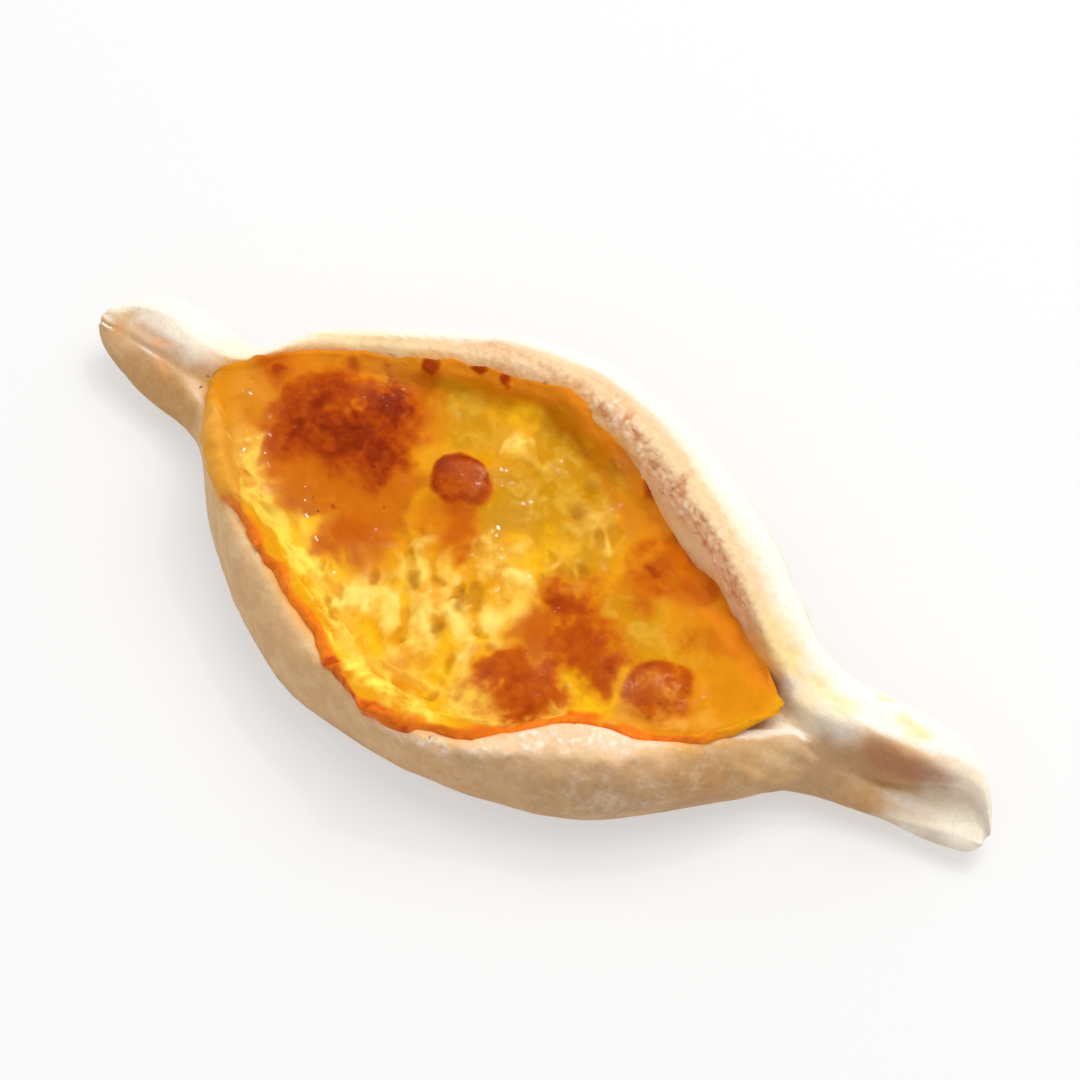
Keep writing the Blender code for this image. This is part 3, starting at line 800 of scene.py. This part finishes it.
def makeCheese(doughSmooth, doughLift, doughFaces):
    piece = evenCopy("cheese_filling", "cheeseFilling", cheese)
    mesh = piece.data
    points, normals = pointsOf(mesh), normalsOf(mesh)
    count = len(points)

    # how each point lies to the dough under it
    onDough = [doughSmooth.find_nearest(Vector(p) * mm) for p in points.tolist()]
    doughNormal = np.array([hit[1] for hit in onDough])
    doughAway = np.array([hit[3] for hit in onDough]) / mm
    faces = np.array([hit[2] for hit in onDough])
    facing = np.einsum("ij,ij->i", normals, doughNormal)
    top = smoothStep(-0.1, 0.5, facing) * smoothStep(0.45, 0.8, doughAway)
    top = np.maximum(top, smoothStep(0.2, 0.6, normals[:, 2]) * smoothStep(0.6, 1.2, doughAway))
    around = neighbourMean(mesh)
    for _ in range(5):
        top = around(top[:, None])[:, 0]

    # how far each point is from the cheese's edge
    edgeTree = KDTree(count)
    for i in np.nonzero((np.abs(facing) < 0.35) & (doughAway < 1.1))[0]:
        edgeTree.insert(points[i], int(i))
    edgeTree.balance()
    nearest = [edgeTree.find(p) for p in points.tolist()]
    edge = np.array([hit[2] for hit in nearest])
    edgeIs = [hit[1] for hit in nearest]
    edgeAt, outward = points[edgeIs], normals[edgeIs]
    outward = outward - np.einsum("ij,ij->i", outward, doughNormal)[:, None] * doughNormal  # along the dough
    nearSide = smoothStep(1.0, -3.0, edgeAt[:, 1] + 0.12 * edgeAt[:, 0])

    loose = warped(warped(points, 7.0, 1.5, 3.0), 2.4, 0.7, 8.0)
    crumb = layered(points, 2.0, 6.0)
    fine = grain(points, 0.8, 6.0)
    lift = sum(depth * grain(points, size, 1.7 * size) for size, depth in cheese["lumps"])

    # the browned cluster, which melts into an orange halo
    inCluster = nearness(loose, cluster) + 0.08 * crumb
    core = smoothStep(-0.5, 0.45, inCluster)
    halo = heaped(loose, clusterHalo + cluster)
    dark = smoothStep(-0.2, 0.55, nearness(loose, clusterDark) + 0.3 * crumb)
    light = smoothStep(-0.1, 0.5, nearness(loose, clusterLight) + 0.2 * crumb)
    browned = 0.22 * halo + core * (0.34 + 0.20 * dark - 0.26 * light + 0.06 * crumb)
    lumps = 0.65 * lumpy(points, 2.3, 4.0) + 0.4 * lumpy(points, 1.1, 14.0)
    lift += core * (cheese["clusterLumps"] * (lumps - 0.35) + 0.10 * fine + 0.25)

    # the single blisters, crinkled, each burnt darker at one side
    bent = warped(points, 2.2, 0.7, 15.0)
    crinkles = 1 - lumpy(bent, 1.7, 18.0) - 0.5 * lumpy(bent, 0.8, 28.0)
    for blister in blisters:
        inside, share, burnt = blisterField(points, blister)
        softness, burn = min(1.0, blister[3]), blister[4]
        ring = np.exp(-((inside - 0.16) / 0.22) ** 2)
        crisp = 1 - 0.6 * softness  # a soft blister has hardly a ring
        shade = burn + crisp * (0.24 * burnt * ring - 0.10 * smoothStep(0.2, 0.8, inside)) + 0.08 * crumb
        browned = np.maximum(browned, share * shade)
        lift += share * (0.3 + cheese["crinkles"] * crinkles + 0.06 * fine) * (1 - 0.5 * softness)

    # flatter browned patches, soft brown clouds and small dark spots
    inPatch = nearness(loose, patches) + 0.1 * crumb
    patchShare = smoothStep(-1.0, 0.7, inPatch)
    uneven = 0.16 * grain(loose, 4.5, 22.0) + 0.06 * crumb
    browned = np.maximum(browned, patchShare * (0.36 + 0.08 * smoothStep(0.1, 0.7, inPatch) + uneven))
    lift += smoothStep(-0.2, 0.6, inPatch) * (0.16 * (lumps - 0.35) + 0.04 * fine + 0.1)
    clouds = smoothStep(-0.7, 0.7, nearness(loose, softBrown) + 0.08 * crumb)
    browned = np.maximum(browned, 0.33 * clouds)
    spots = smoothStep(-0.35, 0.6, nearness(warped(points, 2.0, 0.5, 21.0), darkSpots) + 0.15 * crumb)
    browned = np.maximum(browned, spots * 0.58)
    browned = np.maximum(browned, 0.55 * rib(loose, darkCrescent, cheese["crescentWidth"], 0.3))
    lift += cheese["spotLift"] * spots
    # painted highlight: pinkish glints on the crinkles
    pink = smoothStep(-0.1, 0.5, nearness(loose, pinkGlintSpots))
    lift += 0.3 * pink * crinkles

    # colours of the pool, which mix into each other
    weight = {"gold": np.full(count, 0.22)}
    for name, places in colourZones.items():
        weight[name] = heaped(loose, places) * np.exp(0.9 * grain(points, 3.2, len(name) * 7.0))
    total = sum(weight.values())
    part = {name: value / total for name, value in weight.items()}

    # the web of threads round small hollows, drawn out towards the far side
    right, up = points @ rightward, points @ upward
    drawn = np.stack([right, 0.7 * up, points[:, 2]], 1)
    cells = grain(warped(drawn, 2.5, 0.8, 2.0), 3.3, 40.0, "VORONOI_F2F1")
    hollows = smoothStep(-0.8, -0.1, cells) * smoothStep(0.1, 0.5, grain(drawn, 4.2, 71.0))
    streaks = layered(warped(drawn, 4.0, 1.1, 61.0), 3.4, 44.0, 2)
    creamy = smoothStep(0.10, 0.5, part["cream"] + 0.5 * part["yellow"])
    veil = smoothStep(-0.2, 1.0, layered(warped(points, 2.6, 1.2, 51.0), 3.6, 55.0)) * part["olive"]
    calm = (1 - core) * smoothStep(0.4, 0.1, browned)
    woven = creamy * (0.7 * streaks - 1.3 * hollows + 0.25 * crumb) + 0.3 * veil + 0.15 * streaks
    lift += cheese["web"] * calm * woven
    curd = 0.45 + 0.45 * streaks + 0.16 * crumb - 0.5 * hollows

    # pores, bubbles and threads
    # painted shade: the pores and the hollows of the web are painted dark olive brown, as the shade in them
    hole = hollows * creamy * calm * 0.7
    for middle, radius in spotsOnBoat(pores):
        offset = warped(points, 1.6, 0.35, 66.0) - middle
        away = np.hypot(offset @ rightward, (offset @ upward) / 1.8) / (0.55 * radius)
        pit = np.exp(-away ** 2)
        hole = np.maximum(hole, pit)
        lift += min(1.0, radius) * (0.08 * np.exp(-((away - 1.7) / 0.6) ** 2) - 0.8 * pit)
    for middle, radius in spotsOnBoat(bubbles):
        away = np.linalg.norm(points - middle, axis=1) / radius
        lift += 0.4 * np.sqrt(np.clip(1 - away ** 2, 0, 1)) - 0.12 * np.exp(-((away - 1.15) / 0.18) ** 2)
    # the threads are painted paler below: partly their own pale colour and partly painted highlight
    thread = np.zeros(count)
    for line, width, height in strands:
        raised = rib(warped(points, 2.5, 0.3, 81.0), line, width)
        lift += height * raised
        thread = np.maximum(thread, raised)
    # the overflow's ridge, lifted, and painted pale butter yellow below as painted highlight
    ridge = rib(loose, overflowRidge, cheese["ridgeWidth"], 0.06)
    lift += ridge * (0.6 + 0.9 * grain(points, 2.6, 31.0) + 0.3 * grain(points, 1.2, 36.0))
    lift += cheese["lobeLift"] * smoothStep(0.0, 0.8, nearness(loose, overflowLobes))
    filmAway, filmAlong = lineReach(warped(points, 4.0, 0.6, 33.0), filmLine)
    filmEnds = smoothStep(0, 0.15, filmAlong) * smoothStep(0, 0.2, 1 - filmAlong)

    # the crisp crust along the near edge
    width = cheese["crustWidth"] + 1.3 * grain(points, 4.0, 60.0)
    leftSpan, rightSpan = cheese["nearCorners"]
    corners = smoothStep(*leftSpan, points[:, 0]) * smoothStep(*rightSpan, points[:, 0])
    crust = smoothStep(1.3, 0.6, edge / width) * nearSide * corners
    crustLumps = 0.7 * domes(loose, 2.3, 62.0) + 0.3 * domes(points, 1.1, 64.0)
    burntCrust = rib(loose, crustDark, cheese["burntWidth"], 0.1)
    lift += crust * cheese["edgeCrust"] * (0.7 + 1.1 * burntCrust) * (crustLumps - 0.15)

    lift *= top * smoothStep(0.1, 1.3, edge)
    farFilm = smoothStep(5.0, 0.5, edge) * (1 - nearSide)

    # seat the edge in the shaped dough, and let it wander a little over it
    carried = doughLift[np.array([doughFaces[i] for i in faces])].mean(1)
    thick = nearSide * corners
    bead = cheese["nearBead"] * thick + cheese["farBead"] * (1 - thick)
    under = smoothStep(0.25, -0.2, facing)
    seated = np.maximum(smoothStep(1.0, 0.0, edge / bead), under * smoothStep(4.0, 1.5, edge))
    seated = np.maximum(seated, smoothStep(-0.2, 0.5, nearness(loose, bareSpots) + 0.15 * crumb))
    down = carried * smoothStep(7.0, 2.0, edge) - seated * (cheese["sink"] + cheese["seat"] * (1 + under))
    atEdge = smoothStep(4.0, 0.5, edge)
    sideways = cheese["wander"] * atEdge * smoothStep(48, 40, np.abs(points[:, 0]))
    sideways *= grain(points, 5.0, 90.0) + 0.6 * grain(points, 2.2, 95.0)
    sideways += cheese["spill"] * atEdge * burntCrust * nearSide
    move = doughNormal * down[:, None] + outward * sideways[:, None]
    for _ in range(6):
        move = 0.4 * move + 0.6 * around(move)
    setPoints(mesh, points + normals * lift[:, None] + move)

    masks = {name: part[name] for name in colourZones}
    masks.update(
        browned=browned, hole=hole, curd=curd, veil=veil * calm, thread=thread, ridge=ridge,
        crust=crust, crustLumps=crustLumps, burntCrust=burntCrust, farFilm=farFilm,
        pink=pink * smoothStep(-0.1, 0.6, crinkles),
        filmLine=np.exp(-(filmAway / cheese["filmLineWidth"]) ** 2) * filmEnds,
        wet=heaped(loose, wetSpots),
    )
    setMasks(mesh, masks)
    return piece


cheeseTones = {
    "gold": tone(228, 156, 18),
    "cream": tone(245, 200, 84),
    "curd": tone(250, 216, 108),
    "yellow": tone(246, 186, 18),
    "butter": tone(255, 228, 92),
    "olive": tone(200, 140, 10),
    "amber": tone(218, 136, 14),
    "orange": tone(190, 94, 7),
    "apricot": tone(228, 158, 52),
    "film": tone(226, 132, 26),
    "veil": tone(230, 184, 70),
    "crust": tone(240, 122, 28),
    "burnt": tone(190, 74, 18),
    "pink": tone(226, 140, 84),
    "hollow": tone(176, 112, 8),
}
browning = [  # from barely coloured to burnt
    (0.0, tone(232, 160, 16)), (0.18, tone(208, 114, 10)), (0.36, tone(188, 86, 7)),
    (0.56, tone(164, 60, 6)), (0.78, tone(138, 42, 5)), (1.0, tone(108, 26, 4)),
]


def cheesePaint():
    paint = Paint("meltedCheese", {
        "Roughness": 0.3,
        "Specular IOR Level": 0.03,
        "Coat Roughness": 0.04,
        "Coat IOR": 1.45,
        "Subsurface Weight": 0.1,
        "Subsurface Scale": 0.002,
        "Subsurface Radius": (1.0, 0.5, 0.1),
    })
    mask = paint.mask
    middle, fine = paint.speckle(2.2, 4), paint.speckle(0.7, 4)
    mottle = 0.5 * (middle - 0.5) + 0.3 * (fine - 0.5)
    curd, wet, brown = mask("curd"), mask("wet"), mask("browned")
    cream = paint.range(mask("cream") * (0.1 + 1.3 * curd) + 0.4 * mottle, 0.16, 0.75)
    browned = (brown + 0.09 * (fine - 0.5) * paint.range(brown, 0.15, 0.5)).clamp()
    crust = (mask("crust") * (0.7 + 0.6 * middle)).clamp()
    # the crust is painted burnt darker in the furrows between its lumps: painted shade there, on top of the
    # crust's own burnt stretch along crustDark
    furrows = 1 - paint.range(mask("crustLumps"), 0.3, 0.75)
    burnt = (mask("burntCrust") * (0.35 + 0.65 * furrows) + 0.35 * furrows).clamp()
    colour = paint.coats(cheeseTones, "gold", [
        ("olive", paint.range(mask("olive") + mottle, 0.05, 0.7)),
        ("amber", paint.range(mask("amber") + 0.6 * mottle, 0.1, 0.7)),
        ("orange", paint.range(mask("orange") + 0.6 * mottle, 0.08, 0.65)),
        ("apricot", paint.range(mask("apricot") + 0.6 * mottle, 0.12, 0.6)),
        ("yellow", paint.range(mask("yellow") + 0.6 * mottle, 0.10, 0.55)),
        ("cream", cream),
        ("curd", cream * paint.range(curd + 0.5 * mottle, 0.55, 1.0)),
        # partly pale folds and partly painted highlight
        ("butter", paint.range(mask("butter") * (0.4 + 0.9 * curd) + 0.5 * mottle, 0.12, 0.55)),
        ("veil", mask("veil") * 0.6),
        # partly pale threads and partly painted highlight
        ("cream", mask("thread") * 0.45),
        ("film", paint.range(mask("farFilm") + 0.6 * mottle, 0.15, 0.8) * 0.75),
        # painted highlight along the overflow's ridge
        ("butter", paint.range(mask("ridge") + 0.8 * mottle, 0.2, 0.8) * 0.7),
        # painted shade in the pores and hollows
        ("hollow", (mask("hole") * 0.85).clamp()),
        (paint.ramp(browned, browning), paint.range(brown + 0.08 * mottle, 0.0, 0.36)),
        ("crust", crust * 0.9),
        # partly painted shade in the furrows and partly the crust's own burnt colour
        ("burnt", crust * burnt),
        # painted highlight: pinkish glints
        ("pink", mask("pink") * (0.2 + 0.6 * fine)),
        ("orange", mask("filmLine") * 0.5),
    ])
    paint.feed("Base Color", paint.shade(colour, paint.range(middle, 0.25, 0.75, (0.93, 1.05))))
    paint.feed("Roughness", 0.28 + 0.2 * paint.range(browned, 0.3, 0.7) + 0.10 * (fine - 0.5))
    paint.feed("Coat Weight", (0.05 + 0.85 * wet + 0.05 * paint.range(middle, 0.5, 0.65)).clamp())
    ripples = paint.speckle(1.6, 2) * (0.4 + 1.4 * wet) + paint.speckle(0.9, 2) * wet
    crisp = paint.speckle(0.5, 4, 0.6) * (0.4 + paint.range(browned, 0.3, 0.7))
    paint.feed("Normal", paint.bumps(crisp, 0.10, 0.7, paint.bumps(ripples, 0.28, 0.8)))
    return paint


# Small bits of dried herb, with their sizes in mm.
flecks = {
    "places": [(384, 507), (313, 497), (318, 511), (208, 376), (201, 387)],
    "length": 0.62,
    "width": 0.28,
    "thick": 0.10,
    "corners": 9,
    "seed": 11,
    "unevenness": 0.18,
    "profile": ((-0.3, 1.0), (0.6, 1.0), (1.0, 0.7)),  # (share of the thickness, share of the width)
}


def makeFlecks(carriers):
    shape = bmesh.new()
    chance = random.Random(flecks["seed"])
    corners = flecks["corners"]
    for pixel in flecks["places"]:
        at, out = cast(pixel, carriers)
        side = out.orthogonal().normalized()
        spin = chance.uniform(0, math.pi)
        side = side * math.cos(spin) + out.cross(side) * math.sin(spin)
        other = out.cross(side)
        long = flecks["length"] * chance.uniform(0.6, 1.1) * mm / 2
        wide = flecks["width"] * chance.uniform(0.7, 1.1) * mm / 2
        rings = []
        for height, spread in flecks["profile"]:
            ring = []
            for i in range(corners):
                angle = 2 * math.pi * i / corners
                reach = spread * (1 + flecks["unevenness"] * math.sin(3 * angle + spin))
                place = at + side * (math.cos(angle) * long * reach)
                place += other * (math.sin(angle) * wide * reach)
                ring.append(shape.verts.new(place + out * (height * flecks["thick"] * mm)))
            rings.append(ring)
        for low, high in zip(rings[:-1], rings[1:]):
            for i in range(corners):
                shape.faces.new((low[i], low[(i + 1) % corners], high[(i + 1) % corners], high[i]))
        shape.faces.new(rings[-1])
        shape.faces.new(list(reversed(rings[0])))
    mesh = bpy.data.meshes.new("herbFlecks")
    bmesh.ops.recalc_face_normals(shape, faces=shape.faces)
    shape.to_mesh(mesh)
    shape.free()
    mesh.shade_smooth()
    paint = Paint("driedHerb", {"Roughness": 0.5, "Specular IOR Level": 0.3})
    colour = paint.blend(tone(104, 84, 22), tone(140, 104, 30), paint.range(paint.speckle(0.6), 0.35, 0.65))
    paint.feed("Base Color", colour)
    paint.feed("Normal", paint.bumps(paint.speckle(0.2), 0.04))
    mesh.materials.append(paint.material)
    piece = bpy.data.objects.new("herbFlecks", mesh)
    bpy.context.scene.collection.objects.link(piece)
    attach(piece, "root")
    print("herb flecks:", len(flecks["places"]))


studio = {
    "floorSize": 3.0,
    "floor": 0.42,
    "floorGlow": 0.475,  # a lit table, so that shadows on it stay pale
    "horizon": 0.50,
    "zenith": 0.70,
    # (name, direction from the boat, distance in m, size in m, watts, colour, seen in reflections)
    "lights": [
        ("key", (0.10, 0.46, 1.0), 1.1, 0.90, 7.0, (1.0, 0.99, 0.97), False),
        ("glint", (0.02, 0.56, 1.0), 1.1, 0.075, 1.0, (1.0, 1.0, 1.0), True),
        ("glintLeft", (-0.82, 0.05, 0.57), 1.1, 0.075, 0.6, (1.0, 1.0, 1.0), True),
    ],
}


def makeFloor():
    half = studio["floorSize"] / 2
    corners = [(-half, -half, 0), (half, -half, 0), (half, half, 0), (-half, half, 0)]
    mesh = bpy.data.meshes.new("floor")
    mesh.from_pydata(corners, [], [(0, 1, 2, 3)])
    grey = studio["floor"]
    paint = Paint("paleFloor", {
        "Base Color": (grey, grey, grey, 1.0),
        "Roughness": 0.9,
        "Specular IOR Level": 0.1,
        "Emission Color": (1.0, 1.0, 1.0, 1.0),
        "Emission Strength": studio["floorGlow"],
    })
    mesh.materials.append(paint.material)
    floor = bpy.data.objects.new("floor", mesh)
    bpy.context.scene.collection.objects.link(floor)


def makeLight():
    world = bpy.data.worlds.new("paleRoom")
    world.use_nodes = True
    tree = world.node_tree
    way, height, brightness = (
        tree.nodes.new("ShaderNode" + kind) for kind in ("TexCoord", "SeparateXYZ", "MapRange")
    )
    brightness.inputs["To Min"].default_value = studio["horizon"]
    brightness.inputs["To Max"].default_value = studio["zenith"]
    tree.links.new(way.outputs["Generated"], height.inputs[0])
    tree.links.new(height.outputs["Z"], brightness.inputs["Value"])
    tree.links.new(brightness.outputs["Result"], tree.nodes["Background"].inputs["Strength"])
    tree.nodes["Background"].inputs["Color"].default_value = (1.0, 1.0, 1.0, 1.0)
    bpy.context.scene.world = world
    for name, way, distance, size, watts, colour, reflected in studio["lights"]:
        data = bpy.data.lights.new(name, "AREA")
        data.shape = "DISK"
        data.size = size
        data.energy = watts
        data.color = colour
        light = bpy.data.objects.new(name, data)
        light.visible_glossy = reflected
        light.location = Vector(way).normalized() * distance
        light.rotation_euler = Vector(way).to_track_quat("Z", "Y").to_euler()
        bpy.context.scene.collection.objects.link(light)
    bpy.context.scene.view_settings.view_transform = "Standard"
    bpy.context.scene.view_settings.look = "None"


makeCamera()
makeFloor()
makeLight()
print("camera, floor and light set")
doughPiece, doughSmooth, doughLift = makeDough()
print("dough shaped")
doughFaces = [tuple(p.vertices)[:3] for p in doughPiece.data.polygons]
cheesePiece = makeCheese(doughSmooth, doughLift, doughFaces)
print("cheese shaped")
finished(doughPiece, doughPaint(), "dough_boat")
finished(cheesePiece, cheesePaint(), "cheese_filling")
makeFlecks([treeOf(doughPiece.data), treeOf(cheesePiece.data)])
print("painted")
